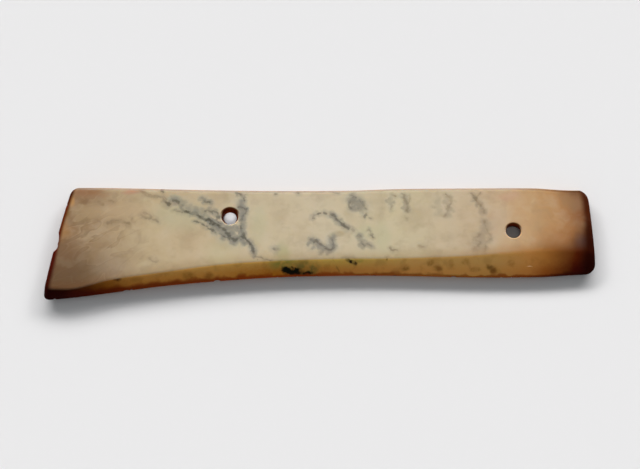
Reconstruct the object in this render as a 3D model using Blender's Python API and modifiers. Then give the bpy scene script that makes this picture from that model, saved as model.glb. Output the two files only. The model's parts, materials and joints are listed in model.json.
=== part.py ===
"""A two-holed jade harvesting knife, one solid stone blade lying on its flat back.

The frame: the origin is at the middle of the blade's box, on the surface it lies on. +X runs along
the blade from the deep heel to the narrow toe, +Y across it from the cutting edge to the spine,
and +Z up through its thickness.

The blade is a loft: cross sections stand side by side from heel to toe, and each one is worked out
from the plan of the blade and from how thick its stone is there. Drilled holes and chips are then
cut out of it.
"""

import math
from collections import namedtuple

import bmesh
import bpy
from mathutils import Matrix, Vector

MM = 0.001

# ---------------------------------------------------------------- driving dimensions
LENGTH = 240.0 * MM
THICKNESS = 6.0 * MM

# The plan, read at twelve places from heel to toe, in millimetres from the long centre line: the
# spine, the ridge where the flat face turns down into the ground bevel, and the cutting edge.
PlanRow = namedtuple("PlanRow", "along spine ridge edge")
PLAN = (
    PlanRow(-120, 25.90, -22.2, -26.1),
    PlanRow(-107, 25.90, -21.9, -24.9),
    PlanRow(-92, 25.65, -17.7, -22.8),
    PlanRow(-70, 25.10, -14.2, -19.7),
    PlanRow(-46, 24.60, -10.7, -17.35),
    PlanRow(-20, 24.40, -8.8, -15.5),
    PlanRow(8, 24.55, -7.9, -14.8),
    PlanRow(32, 25.35, -7.7, -14.8),
    PlanRow(66, 25.65, -6.4, -15.55),
    PlanRow(95, 25.70, -4.3, -15.4),
    PlanRow(108, 24.85, -4.3, -14.6),
    PlanRow(120, 24.65, -4.7, -14.0),
)

# Each end of the plan is a slanting line from its foot, near the edge, to its head, near the spine.
# It bulges outwards by the last number.
EndLine = namedtuple("EndLine", "foot head bulge")
HEEL = EndLine(Vector((-119.85, -22.1)) * MM, Vector((-110.8, 22.6)) * MM, -0.5 * MM)
TOE = EndLine(Vector((120.0, -10.5)) * MM, Vector((118.65, 19.4)) * MM, 0.25 * MM)

# Corner radii in plan.
HEEL_SPINE_CORNER = 3.2 * MM
HEEL_EDGE_CORNER = 3.0 * MM
TOE_SPINE_CORNER = 4.2 * MM
TOE_EDGE_CORNER = 4.9 * MM

# The long sides in section.
SPINE_ARRIS = 1.2 * MM      # radius of both arrises of the spine
EDGE_HEIGHT = 2.8 * MM      # the cutting edge stands this far off the surface
EDGE_LAND = 0.7 * MM        # thickness of the stone where the blunted edge begins to turn
EDGE_NOSE = 0.24 * MM       # height of the small flat at the very edge
BACK_BEVEL = 8.5 * MM       # width of the shallow bevel under the edge
BEVEL_CROWN = 0.12 * MM     # how far the upper bevel swells above flat
RIDGE_SOFTNESS = 0.9 * MM   # half the width over which the ridge is polished round

# The ends in section.
HEEL_ARRIS = 0.9 * MM
TOE_ARRIS = 0.7 * MM
TOE_FACET_WIDTH = 3.6 * MM
TOE_FACET_DROP = 1.3 * MM
BACK_ARRIS = 0.8 * MM

# The two holes are drilled from both faces, so each is narrowest at a waist inside the stone.
Hole = namedtuple("Hole", "name centre mouth waist waist_depth back_mouth")
HOLES = (
    Hole("heel_hole", Vector((-39.9, 12.0)) * MM, 3.95 * MM, 2.95 * MM, 2.9 * MM, 4.1 * MM),
    Hole("toe_hole", Vector((84.6, 5.2)) * MM, 3.45 * MM, 3.1 * MM, 1.8 * MM, 4.2 * MM),
)
LIP_FLARE = 0.5 * MM        # each mouth is worn wider by this much
LIP_DEPTH = 0.35 * MM
WAIST_HALF = 0.35 * MM      # half the height of the waist, which is worn round
WAIST_ROUND = 0.12 * MM

# Chips are scoops: where each one bites, and the radii of the scoop.
Chip = namedtuple("Chip", "name centre radii")
CHIPS = (
    Chip("heel_chip", Vector((-118.15, 1.6, 3.4)) * MM, Vector((3.8, 6.4, 9.0)) * MM),
    Chip("heel_chip_step", Vector((-118.05, -1.7, 3.4)) * MM, Vector((3.4, 3.6, 8.0)) * MM),
    Chip("heel_flake", Vector((-112.3, 17.8, 6.5)) * MM, Vector((1.3, 2.4, 1.4)) * MM),
    Chip("edge_nick_1", Vector((-84.0, -23.2, 2.6)) * MM, Vector((2.6, 2.0, 1.6)) * MM),
    Chip("edge_nick_2", Vector((-45.0, -18.1, 2.6)) * MM, Vector((1.8, 1.5, 1.4)) * MM),
    Chip("edge_nick_3", Vector((58.0, -16.6, 2.7)) * MM, Vector((2.2, 1.6, 1.5)) * MM),
    Chip("spine_nick", Vector((-70.0, 25.9, 6.1)) * MM, Vector((1.6, 1.4, 1.3)) * MM),
)

# ---------------------------------------------------------------- fineness of the mesh
RING_SPACING = 4.0 * MM
END_RINGS = (0.0, 0.15, 0.4, 0.8, 1.4, 2.2, 3.0, 3.8, 5.2)     # in millimetres from each end
ARRIS_STEPS = 3
BEVEL_STEPS = 3
FACE_STEPS = 6
HOLE_STEPS = 40
SMOOTH_BELOW = math.radians(25)

JADE_COLOUR = (0.48, 0.37, 0.23, 1.0)
JADE_ROUGHNESS = 0.3


# ---------------------------------------------------------------- the plan
def plan_at(along, column):
    """One column of the plan at this distance along the blade, on a smooth curve through the rows."""
    rows = [(row.along * MM, getattr(row, column) * MM) for row in PLAN]
    slopes = []
    for index in range(len(rows)):
        before = rows[max(index - 1, 0)]
        after = rows[min(index + 1, len(rows) - 1)]
        slopes.append((after[1] - before[1]) / (after[0] - before[0]))
    index = 0
    while index < len(rows) - 2 and along > rows[index + 1][0]:
        index += 1
    (x0, y0), (x1, y1) = rows[index], rows[index + 1]
    span = x1 - x0
    f = (along - x0) / span
    rise = y0 * (1 + 2 * f) * (1 - f) ** 2 + y1 * f * f * (3 - 2 * f)
    lean = slopes[index] * f * (1 - f) ** 2 - slopes[index + 1] * f * f * (1 - f)
    return rise + lean * span


def end_at(line, y):
    """Where an end of the plan lies at this distance from the centre line."""
    f = (y - line.foot.y) / (line.head.y - line.foot.y)
    straight = line.foot.x + (line.head.x - line.foot.x) * f
    return straight + line.bulge * 4 * f * (1 - f)


def quarter_round(distance, radius):
    """How far a rounded corner has fallen away at this distance from its end."""
    if distance >= radius:
        return 0.0
    return radius - math.sqrt(radius ** 2 - (radius - distance) ** 2)


# ---------------------------------------------------------------- the cross section
def arc(centre_y, centre_z, radius, start, end):
    """Points of an arc from one angle to another, in degrees, both ends included."""
    points = []
    for step in range(ARRIS_STEPS + 1):
        angle = math.radians(start + (end - start) * step / ARRIS_STEPS)
        points.append((centre_y + radius * math.cos(angle), centre_z + radius * math.sin(angle)))
    return points


def between(start, end, steps):
    """The points inside a straight stretch that is divided into this many steps."""
    points = []
    for step in range(1, steps):
        f = step / steps
        points.append((start[0] + (end[0] - start[0]) * f, start[1] + (end[1] - start[1]) * f))
    return points


def section(share):
    """The closed cross section at this share of the length from heel to toe, as (y, z) points."""
    along = (share - 0.5) * LENGTH
    from_heel = share * LENGTH
    from_toe = LENGTH - from_heel
    spine = (plan_at(along, "spine") - quarter_round(from_heel, HEEL_SPINE_CORNER)
             - quarter_round(from_toe, TOE_SPINE_CORNER))
    edge = (plan_at(along, "edge") + quarter_round(from_heel, HEEL_EDGE_CORNER)
            + quarter_round(from_toe, TOE_EDGE_CORNER))
    facet = TOE_FACET_DROP * max(0.0, 1 - from_toe / TOE_FACET_WIDTH)
    top = (THICKNESS - facet - quarter_round(from_heel, HEEL_ARRIS)
           - quarter_round(from_toe, TOE_ARRIS))
    bottom = quarter_round(from_heel, BACK_ARRIS) + quarter_round(from_toe, BACK_ARRIS)

    # The bevel keeps its slope where an end lowers the face, so the ridge runs out to the corner.
    slope = (THICKNESS - EDGE_HEIGHT) / (plan_at(along, "ridge") - plan_at(along, "edge"))
    ridge = edge + (top - EDGE_HEIGHT) / slope

    # Up the spine, from the back to the face.
    points = arc(spine - SPINE_ARRIS, bottom + SPINE_ARRIS, SPINE_ARRIS, -90, 0)
    points += arc(spine - SPINE_ARRIS, top - SPINE_ARRIS, SPINE_ARRIS, 0, 90)

    # Across the face, over the ridge and down the bevel to the edge.
    face_end = (ridge + RIDGE_SOFTNESS, top)
    points += between(points[-1], face_end, FACE_STEPS)
    points.append(face_end)
    # The softened ridge is a parabola that leaves the face level and meets the bevel at its slope.
    points.append((ridge, top - RIDGE_SOFTNESS * slope / 4))
    start = (ridge - RIDGE_SOFTNESS, top - RIDGE_SOFTNESS * slope)
    end = (edge + EDGE_LAND / 2, EDGE_HEIGHT + EDGE_LAND / 2)
    for step in range(BEVEL_STEPS + 1):
        f = step / BEVEL_STEPS
        y = start[0] + (end[0] - start[0]) * f
        z = start[1] + (end[1] - start[1]) * f + BEVEL_CROWN * 4 * f * (1 - f)
        points.append((y, z))

    # Round the blunt edge and across the back.
    points.append((edge, EDGE_HEIGHT + EDGE_NOSE / 2))
    points.append((edge, EDGE_HEIGHT - EDGE_NOSE / 2))
    points.append((edge + EDGE_LAND / 2, EDGE_HEIGHT - EDGE_LAND / 2))
    back_start = (edge + BACK_BEVEL, bottom)
    points.append(back_start)
    return points + between(back_start, points[0], FACE_STEPS)


def place(share, y, z):
    """A section's point in the blade. Sections lean with the slant of the nearer end."""
    x = end_at(HEEL, y) * (1 - share) + end_at(TOE, y) * share
    return Vector((x, y, z))


def shares_along():
    """Where the sections stand, as shares of the length: close together at both ends."""
    ends = [distance * MM / LENGTH for distance in END_RINGS]
    count = round((1 - 2 * ends[-1]) * LENGTH / RING_SPACING)
    middle = [ends[-1] + (1 - 2 * ends[-1]) * step / count for step in range(1, count)]
    return ends + middle + [1 - share for share in reversed(ends)]


# ---------------------------------------------------------------- objects
def add_object(name, bm, collection):
    """A new object from this mesh, in this collection."""
    bmesh.ops.recalc_face_normals(bm, faces=bm.faces)
    mesh = bpy.data.meshes.new(name)
    bm.to_mesh(mesh)
    bm.free()
    mesh.shade_smooth()
    mesh.set_sharp_from_angle(angle=SMOOTH_BELOW)
    made = bpy.data.objects.new(name, mesh)
    collection.objects.link(made)
    return made


def blade_blank(collection):
    """The blade before drilling: its sections joined into one closed skin."""
    bm = bmesh.new()
    rings = []
    for share in shares_along():
        rings.append([bm.verts.new(place(share, y, z)) for y, z in section(share)])
    for ring, following in zip(rings, rings[1:]):
        for index in range(len(ring)):
            bm.faces.new((ring[index - 1], ring[index], following[index], following[index - 1]))
    bm.faces.new(rings[0])
    bm.faces.new(rings[-1])
    # A slanting end isn't flat, and triangles give the cutters one clear surface to meet.
    bmesh.ops.triangulate(bm, faces=bm.faces)
    return add_object("blade", bm, collection)


def hole_cutter(hole, collection):
    """The space of one hole: a profile down its outer side, turned about the hole's axis."""
    over = 1.0 * MM     # how far the cutter stands out of both faces
    waist_height = THICKNESS - hole.waist_depth
    profile = (
        (0.0, THICKNESS + over),
        (hole.mouth + LIP_FLARE + over, THICKNESS + over),
        (hole.mouth + LIP_FLARE, THICKNESS),
        (hole.mouth, THICKNESS - LIP_DEPTH),
        (hole.waist + WAIST_ROUND, waist_height + WAIST_HALF),
        (hole.waist, waist_height),
        (hole.waist + WAIST_ROUND, waist_height - WAIST_HALF),
        (hole.back_mouth, LIP_DEPTH),
        (hole.back_mouth + LIP_FLARE, 0.0),
        (hole.back_mouth + LIP_FLARE + over, -over),
        (0.0, -over),
    )
    mesh = bpy.data.meshes.new(hole.name)
    points = [(radius, 0.0, height) for radius, height in profile]
    mesh.from_pydata(points, [(i, i + 1) for i in range(len(points) - 1)], [])
    cutter = bpy.data.objects.new(hole.name, mesh)
    cutter.location = hole.centre.to_3d()
    screw = cutter.modifiers.new("turned", "SCREW")
    screw.steps = HOLE_STEPS
    screw.render_steps = HOLE_STEPS
    screw.use_merge_vertices = True
    screw.merge_threshold = 0.00001
    collection.objects.link(cutter)
    return cutter


def chip_cutter(chip, collection):
    """The space of one chip: a stretched ball that bites into the stone."""
    bm = bmesh.new()
    stretched = Matrix.Translation(chip.centre) @ Matrix.Diagonal(chip.radii).to_4x4()
    bmesh.ops.create_icosphere(bm, subdivisions=2, radius=1.0, matrix=stretched)
    return add_object(chip.name, bm, collection)


def polished_jade():
    """Polished nephrite: a close-grained cream and russet stone with a soft gloss."""
    material = bpy.data.materials.new("polished_jade")
    material.use_nodes = True
    shader = material.node_tree.nodes["Principled BSDF"]
    shader.inputs["Base Color"].default_value = JADE_COLOUR
    shader.inputs["Roughness"].default_value = JADE_ROUGHNESS
    shader.inputs["Metallic"].default_value = 0.0
    return material


def add_collection(name):
    made = bpy.data.collections.new(name)
    bpy.context.scene.collection.children.link(made)
    return made


def main():
    for old in list(bpy.data.objects):
        bpy.data.objects.remove(old)
    knife = add_collection("harvesting_knife")
    cutters = add_collection("cutters")

    blade = blade_blank(knife)
    blade.data.materials.append(polished_jade())
    for hole in HOLES:
        hole_cutter(hole, cutters)
    for chip in CHIPS:
        chip_cutter(chip, cutters)
    for cutter in cutters.objects:
        cutter.hide_render = True
        cutter.display_type = "WIRE"
        cut = blade.modifiers.new(cutter.name, "BOOLEAN")
        cut.operation = "DIFFERENCE"
        cut.object = cutter


main()
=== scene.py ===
# %% [markdown]
# # A two-holed jade harvesting knife
#
# The real knife is one thin slab of nephrite. It was sawn from a boulder, ground to its outline,
# given one long bevel for a cutting edge, drilled twice from both faces for a thong, and polished
# with wet sand. Burial then stained its ends and its edge brown. It lies on its flat back.
#
# The lesson goes the way the maker did: a blank, two holes, the wear of use, and last the stone
# itself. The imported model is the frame. It says how big the knife is and where it lies.

# %% Open the frame
import json
import math
from collections import namedtuple
from functools import partial

import bmesh
import bpy
import numpy as np
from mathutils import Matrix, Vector, noise

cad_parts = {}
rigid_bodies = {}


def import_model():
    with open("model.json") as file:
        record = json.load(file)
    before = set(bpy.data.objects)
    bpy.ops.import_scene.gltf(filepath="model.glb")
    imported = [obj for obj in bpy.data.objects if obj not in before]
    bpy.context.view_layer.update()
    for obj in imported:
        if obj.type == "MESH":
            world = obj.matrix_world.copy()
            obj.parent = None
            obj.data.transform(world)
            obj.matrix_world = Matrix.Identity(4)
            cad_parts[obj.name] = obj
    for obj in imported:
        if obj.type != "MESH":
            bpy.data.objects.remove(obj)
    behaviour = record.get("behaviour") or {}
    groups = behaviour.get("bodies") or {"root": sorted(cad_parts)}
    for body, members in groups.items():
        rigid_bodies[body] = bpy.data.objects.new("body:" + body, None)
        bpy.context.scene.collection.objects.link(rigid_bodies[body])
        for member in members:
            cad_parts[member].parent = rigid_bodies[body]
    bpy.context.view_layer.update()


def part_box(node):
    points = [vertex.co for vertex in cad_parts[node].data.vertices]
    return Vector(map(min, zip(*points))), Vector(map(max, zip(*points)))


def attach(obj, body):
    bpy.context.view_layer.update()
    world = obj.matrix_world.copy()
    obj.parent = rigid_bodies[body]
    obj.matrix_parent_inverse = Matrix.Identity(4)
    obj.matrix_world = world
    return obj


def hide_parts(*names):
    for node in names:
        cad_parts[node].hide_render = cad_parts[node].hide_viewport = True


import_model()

MM = 0.001
low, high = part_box("blade")
print("the packed blade is", [round((b - a) / MM, 2) for a, b in zip(low, high)], "mm")

# %% [markdown]
# ## The camera
#
# A long lens from well above the face keeps the slab's long sides straight, with only a trace of
# perspective. It looks down at the face from the cutting edge's side, so the bevel and the near
# walls of the holes show. It comes first, because everything after it is judged through it.
#
# The view transform is the plain one, so that a colour chosen by its hex value is the colour seen.

# %% Place the camera
VIEW_ELEVATION = math.radians(68.5)
VIEW_DISTANCE = 778.6 * MM
VIEW_SHIFT = Vector((-0.24, 3.3, 0.0)) * MM     # the knife sits a little low in the view

face_centre = Vector(((low.x + high.x) / 2, (low.y + high.y) / 2, high.z))
aim = face_centre + VIEW_SHIFT
towards_camera = Vector((0.0, -math.cos(VIEW_ELEVATION), math.sin(VIEW_ELEVATION)))

camera_data = bpy.data.cameras.new("camera")
camera_data.lens = 100.0
camera_data.sensor_width = 36.0
camera_data.clip_start = 0.01
camera_data.clip_end = 20.0
camera = bpy.data.objects.new("camera", camera_data)
camera.location = aim + towards_camera * VIEW_DISTANCE
camera.rotation_euler = towards_camera.to_track_quat("Z", "Y").to_euler()
bpy.context.scene.collection.objects.link(camera)
bpy.context.scene.camera = camera
bpy.context.scene.view_settings.view_transform = "Standard"
print("the camera stands", round(camera.location.z / MM), "mm above the floor")

# %% [markdown]
# ## Two helpers
#
# Node trees are long lists of the same act: add a node, set it, link it. One function does that for
# every kind of node, in Geometry Nodes and in materials. A socket is found by its identifier first,
# because several sockets of one node can share a name. A second function turns an sRGB hex colour
# into the linear numbers that Blender works in.

# %% Nodes and colours
def linear(hex_colour):
    """A linear RGBA colour from an sRGB hex value such as "#c0b090"."""
    channels = [int(hex_colour[start:start + 2], 16) / 255 for start in (1, 3, 5)]
    turned = [c / 12.92 if c <= 0.04045 else ((c + 0.055) / 1.055) ** 2.4 for c in channels]
    return (*turned, 1.0)


def socket_of(sockets, key):
    """A socket by its identifier, its name or its number."""
    for socket in sockets:
        if socket.identifier == key:
            return socket
    return sockets[key]


def add_node(tree, kind, inputs=None, stops=(), **settings):
    """One new node. An input gets a value, a hex colour, or the socket or node it is linked from."""
    node = tree.nodes.new(kind)
    for name, value in settings.items():
        setattr(node, name, value)
    for number, (position, colour) in enumerate(stops):     # of a colour ramp
        if number > 1:
            node.color_ramp.elements.new(position)
        node.color_ramp.elements[number].position = position
        node.color_ramp.elements[number].color = linear(colour)
    for key, value in (inputs or {}).items():
        socket = socket_of(node.inputs, key)
        if isinstance(value, bpy.types.Node):
            value = value.outputs[0]
        if isinstance(value, bpy.types.NodeSocket):
            tree.links.new(value, socket)
        elif isinstance(value, str) and value.startswith("#"):
            socket.default_value = linear(value)
        else:
            socket.default_value = value
    return node


SOFT = {"interpolation_type": "SMOOTHSTEP"}     # a Map Range that eases in and out
print("a mid grey #808080 is", round(linear("#808080")[0], 3), "in linear light")

# %% [markdown]
# ## The plan of the blade
#
# Seen from above, the blade is two long curves and two slanting ends. Three curves run from heel to
# toe: the spine, the ridge where the flat face turns down into the bevel, and the cutting edge. Each
# is known at twelve places, and a smooth curve through them fills in the rest, as a maker's eye does
# between the places where the slab was measured.

# %% Measure the plan
LENGTH = round((high.x - low.x) / MM) * MM
THICKNESS = high.z - low.z

PlanRow = namedtuple("PlanRow", "along spine ridge edge")       # in millimetres
PLAN = (
    PlanRow(-120, 25.90, -22.2, -26.1),
    PlanRow(-107, 25.90, -21.9, -24.9),
    PlanRow(-92, 25.65, -17.7, -22.8),
    PlanRow(-70, 25.10, -14.2, -19.7),
    PlanRow(-46, 24.60, -10.7, -17.35),
    PlanRow(-20, 24.40, -8.8, -15.5),
    PlanRow(8, 24.55, -7.9, -14.8),
    PlanRow(32, 25.35, -7.7, -14.8),
    PlanRow(66, 25.65, -6.4, -15.55),
    PlanRow(95, 25.70, -4.3, -15.4),
    PlanRow(108, 24.85, -4.3, -14.6),
    PlanRow(120, 24.65, -4.7, -14.0),
)

# Each end slants from its foot, near the edge, to its head, near the spine, and bulges a little.
EndLine = namedtuple("EndLine", "foot head bulge")
HEEL = EndLine(Vector((-119.85, -22.1)) * MM, Vector((-110.8, 22.6)) * MM, -0.5 * MM)
TOE = EndLine(Vector((120.0, -10.5)) * MM, Vector((118.65, 19.4)) * MM, 0.25 * MM)


def plan_at(along, column):
    """One column of the plan at this distance along the blade, on a smooth curve through the rows."""
    rows = [(row.along * MM, getattr(row, column) * MM) for row in PLAN]
    slopes = []
    for index in range(len(rows)):
        before = rows[max(index - 1, 0)]
        after = rows[min(index + 1, len(rows) - 1)]
        slopes.append((after[1] - before[1]) / (after[0] - before[0]))
    index = 0
    while index < len(rows) - 2 and along > rows[index + 1][0]:
        index += 1
    (x0, y0), (x1, y1) = rows[index], rows[index + 1]
    span = x1 - x0
    f = (along - x0) / span
    rise = y0 * (1 + 2 * f) * (1 - f) ** 2 + y1 * f * f * (3 - 2 * f)
    lean = slopes[index] * f * (1 - f) ** 2 - slopes[index + 1] * f * f * (1 - f)
    return rise + lean * span


def end_at(line, y):
    """Where an end of the plan lies at this distance from the centre line. It takes arrays too."""
    f = (y - line.foot.y) / (line.head.y - line.foot.y)
    straight = line.foot.x + (line.head.x - line.foot.x) * f
    return straight + line.bulge * 4 * f * (1 - f)


middle_depth = plan_at(0, "spine") - plan_at(0, "edge")
print("the blade is", round(middle_depth / MM, 1), "mm deep at its middle")

# %% [markdown]
# ## One cross section
#
# A cut across the blade shows a flat back, a spine with two worn arrises, the flat face, a soft
# ridge, a long bevel and a blunted edge with a short bevel under it. Real grinding leaves no hard
# corner, so each turn here is a small curve with several points on it.

# %% Draw the section
SPINE_ARRIS = 1.2 * MM
SPINE_ROLL = 1.8 * MM       # the upper arris is polished over this much of the face
EDGE_HEIGHT = 2.8 * MM
EDGE_LAND = 0.7 * MM
BACK_BEVEL = 8.5 * MM
BEVEL_CROWN = 0.12 * MM
RIDGE_SOFTNESS = 0.9 * MM

HEEL_SPINE_CORNER = 3.2 * MM
HEEL_EDGE_CORNER = 3.0 * MM
TOE_SPINE_CORNER = 4.2 * MM
TOE_EDGE_CORNER = 4.9 * MM
HEEL_ARRIS = 0.9 * MM
TOE_ARRIS = 0.7 * MM
TOE_FACET_WIDTH = 3.6 * MM
TOE_FACET_DROP = 1.3 * MM
BACK_ARRIS = 0.8 * MM

ARRIS_STEPS = 6
FACE_STEPS = 80
RIDGE_STEPS = 6
BEVEL_STEPS = 12
NOSE_STEPS = 6
BACK_BEVEL_STEPS = 8
BACK_STEPS = 26


def quarter_round(distance, radius):
    """How far a rounded corner has fallen away at this distance from its end."""
    if distance >= radius:
        return 0.0
    return radius - math.sqrt(radius ** 2 - (radius - distance) ** 2)


def arc(centre, radii, start, end, steps):
    """Points of an elliptical arc from one angle to another, in degrees, without the last one."""
    points = []
    for step in range(steps):
        angle = math.radians(start + (end - start) * step / steps)
        points.append((centre[0] + radii[0] * math.cos(angle), centre[1] + radii[1] * math.sin(angle)))
    return points


def run(start, end, steps):
    """Points of a straight stretch, without its last one."""
    points = []
    for step in range(steps):
        f = step / steps
        points.append((start[0] + (end[0] - start[0]) * f, start[1] + (end[1] - start[1]) * f))
    return points


def section(share):
    """The closed cross section at this share of the length from heel to toe, as (y, z) points."""
    along = (share - 0.5) * LENGTH
    from_heel = share * LENGTH
    from_toe = LENGTH - from_heel
    spine = (plan_at(along, "spine") - quarter_round(from_heel, HEEL_SPINE_CORNER)
             - quarter_round(from_toe, TOE_SPINE_CORNER))
    edge = (plan_at(along, "edge") + quarter_round(from_heel, HEEL_EDGE_CORNER)
            + quarter_round(from_toe, TOE_EDGE_CORNER))
    facet = TOE_FACET_DROP * max(0.0, 1 - from_toe / TOE_FACET_WIDTH)
    top = (THICKNESS - facet - quarter_round(from_heel, HEEL_ARRIS)
           - quarter_round(from_toe, TOE_ARRIS))
    bottom = quarter_round(from_heel, BACK_ARRIS) + quarter_round(from_toe, BACK_ARRIS)
    nose = EDGE_LAND / 2
    foot = (edge + nose, EDGE_HEIGHT + nose)
    slope = (THICKNESS - foot[1]) / (plan_at(along, "ridge") - plan_at(along, "edge") - nose)
    ridge = foot[0] + (top - foot[1]) / slope

    points = arc((spine - SPINE_ARRIS, bottom + SPINE_ARRIS), (SPINE_ARRIS, SPINE_ARRIS), -90, 0,
                 ARRIS_STEPS)
    points += arc((spine - SPINE_ROLL, top - SPINE_ARRIS), (SPINE_ROLL, SPINE_ARRIS), 0, 90,
                  ARRIS_STEPS)
    points += run((spine - SPINE_ROLL, top), (ridge + RIDGE_SOFTNESS, top), FACE_STEPS)
    # The softened ridge is a parabola, level at the face and as steep as the bevel where it ends.
    drop = top - foot[1]
    crown = BEVEL_CROWN * (drop / (THICKNESS - foot[1])) ** 2
    lean = (drop - 4 * crown) / (ridge - foot[0])
    for step in range(RIDGE_STEPS):
        past = 2 * RIDGE_SOFTNESS * step / RIDGE_STEPS
        points.append((ridge + RIDGE_SOFTNESS - past, top - lean * past ** 2 / (4 * RIDGE_SOFTNESS)))
    bevel_top = (ridge - RIDGE_SOFTNESS, top - lean * RIDGE_SOFTNESS)
    for step, (y, z) in enumerate(run(bevel_top, foot, BEVEL_STEPS)):
        f = step / BEVEL_STEPS
        points.append((y, z + crown * 4 * f * (1 - f)))
    points += arc((edge + nose, EDGE_HEIGHT), (nose, nose), 90, 270, NOSE_STEPS)
    points += run((edge + nose, EDGE_HEIGHT - nose), (edge + BACK_BEVEL, bottom), BACK_BEVEL_STEPS)
    points += run((edge + BACK_BEVEL, bottom), (spine - SPINE_ARRIS, bottom), BACK_STEPS)
    return points


print("one section has", len(section(0.5)), "points")

# %% [markdown]
# ## The blank
#
# The blank is a loft: sections stand side by side from heel to toe and are skinned with quads. No
# two sections are alike, so neither an extrusion nor a bevelled curve can make it, and the skin is
# built ring by ring. The rings are half a millimetre apart, fine enough to carry the marks that are
# laid on later, and closer at the ends, where the corners turn.

# %% Loft the blank
RING_SPACING = 0.5 * MM
END_RINGS = (0.0, 0.02, 0.08, 0.18, 0.32, 0.5, 0.7, 0.95, 1.25, 1.6, 2.0, 2.45, 2.9)   # in mm

blade_material = bpy.data.materials.new("polished_nephrite")
bench = bpy.data.collections.new("bench")       # guides and cutters, which the end of the lesson clears
bpy.context.scene.collection.children.link(bench)


def place(share, y, z):
    """A section's point in the blade. Sections lean with the slant of the nearer end."""
    x = end_at(HEEL, y) * (1 - share) + end_at(TOE, y) * share
    return Vector((x, y, z))


def shares_along():
    """Where the sections stand, as shares of the length."""
    ends = [distance * MM / LENGTH for distance in END_RINGS]
    count = round((1 - 2 * ends[-1]) * LENGTH / RING_SPACING)
    middle = [ends[-1] + (1 - 2 * ends[-1]) * step / count for step in range(1, count)]
    return ends + middle + [1 - share for share in reversed(ends)]


def bench_object(name, mesh):
    """A new object of this mesh, on the bench."""
    made = bpy.data.objects.new(name, mesh)
    bench.objects.link(made)
    return made


def skin_object(name, bm):
    """A new object of what was built in this bmesh."""
    mesh = bpy.data.meshes.new(name)
    bm.to_mesh(mesh)
    bm.free()
    return bench_object(name, mesh)


def lofted_blank():
    """The blade before drilling, as one closed skin."""
    bm = bmesh.new()
    rings = []
    for share in shares_along():
        rings.append([bm.verts.new(place(share, y, z)) for y, z in section(share)])
    for ring, following in zip(rings, rings[1:]):
        for index in range(len(ring)):
            bm.faces.new((ring[index - 1], ring[index], following[index], following[index - 1]))
    bm.faces.new(rings[0])
    bm.faces.new(rings[-1])
    bmesh.ops.triangulate(bm, faces=bm.faces)
    bmesh.ops.recalc_face_normals(bm, faces=bm.faces)
    return skin_object("blank", bm)


blank = lofted_blank()
print("the blank has", len(blank.data.vertices), "points and", len(blank.data.polygons), "faces")

# %% [markdown]
# ## A hand-ground face
#
# A slab that is rubbed by hand on a grinding stone is never quite flat. It waves by a few hundredths
# of a millimetre over a finger's width, which shows only where light grazes it. A Geometry Nodes
# tree lifts and lowers the upper skin by a slow noise. The back keeps its place, so that the knife
# still lies flat.

# %% Build the grinding tree
GRIND_DEPTH = 0.035 * MM
GRIND_WIDTH = 17.0 * MM


def new_tree(name, **inputs):
    """A Geometry Nodes tree with a geometry in and out, and an input for each name and kind."""
    tree = bpy.data.node_groups.new(name, "GeometryNodeTree")
    tree.interface.new_socket("Geometry", in_out="INPUT", socket_type="NodeSocketGeometry")
    tree.interface.new_socket("Geometry", in_out="OUTPUT", socket_type="NodeSocketGeometry")
    for label, kind in inputs.items():
        tree.interface.new_socket(label.replace("_", " "), in_out="INPUT",
                                  socket_type="NodeSocket" + kind)
    return tree, add_node(tree, "NodeGroupInput").outputs


def finish_tree(tree, geometry, material):
    """The last nodes of every tree: real geometry, with its material."""
    real = add_node(tree, "GeometryNodeRealizeInstances", {"Geometry": geometry})
    clad = add_node(tree, "GeometryNodeSetMaterial", {"Geometry": real, "Material": material})
    add_node(tree, "NodeGroupOutput", {"Geometry": clad})
    return tree


def plain_copy(target, modifier, name):
    """A plain mesh object of what this modifier makes of the target, which then loses the modifier."""
    graph = bpy.context.evaluated_depsgraph_get()
    mesh = bpy.data.meshes.new_from_object(target.evaluated_get(graph), depsgraph=graph)
    target.modifiers.remove(modifier)
    return bench_object(name, mesh)


def run_tree(target, tree, values):
    """A plain mesh object of what the tree makes from the target with these values of its inputs."""
    modifier = target.modifiers.new(tree.name, "NODES")
    modifier.node_group = tree
    for item in tree.interface.items_tree:
        if item.in_out == "INPUT" and item.name in values:
            modifier[item.identifier] = values[item.name]
    return plain_copy(target, modifier, target.name + "_" + tree.name)


def grinding_tree():
    tree, given = new_tree("ground", Depth="Float", Width="Float", Seed="Float")
    node = partial(add_node, tree)
    where = node("GeometryNodeInputPosition")
    per_width = node("ShaderNodeMath", {0: 1.0, 1: given["Width"]}, operation="DIVIDE")
    waves = node("ShaderNodeTexNoise", {"Vector": where, "W": given["Seed"], "Scale": per_width,
                                        "Detail": 1.0, "Roughness": 0.35}, noise_dimensions="4D")
    centred = node("ShaderNodeMapRange", {"Value": waves, "From Min": 0.25, "From Max": 0.75,
                                          "To Min": -1.0, "To Max": 1.0})
    height = node("ShaderNodeSeparateXYZ", {"Vector": where}).outputs["Z"]
    upper = node("ShaderNodeMapRange", {"Value": height, "From Min": 0.35 * THICKNESS,
                                        "From Max": 0.7 * THICKNESS}, **SOFT)
    push = node("ShaderNodeMath", {0: centred, 1: given["Depth"]}, operation="MULTIPLY")
    push = node("ShaderNodeMath", {0: push, 1: upper}, operation="MULTIPLY")
    offset = node("ShaderNodeCombineXYZ", {"Z": push})
    moved = node("GeometryNodeSetPosition", {"Geometry": given["Geometry"], "Offset": offset})
    return finish_tree(tree, moved, blade_material)


ground = run_tree(blank, grinding_tree(), {"Depth": GRIND_DEPTH, "Width": GRIND_WIDTH, "Seed": 3.0})
print("grinding left the upper skin waving by", round(GRIND_DEPTH / MM, 3), "mm")

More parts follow.
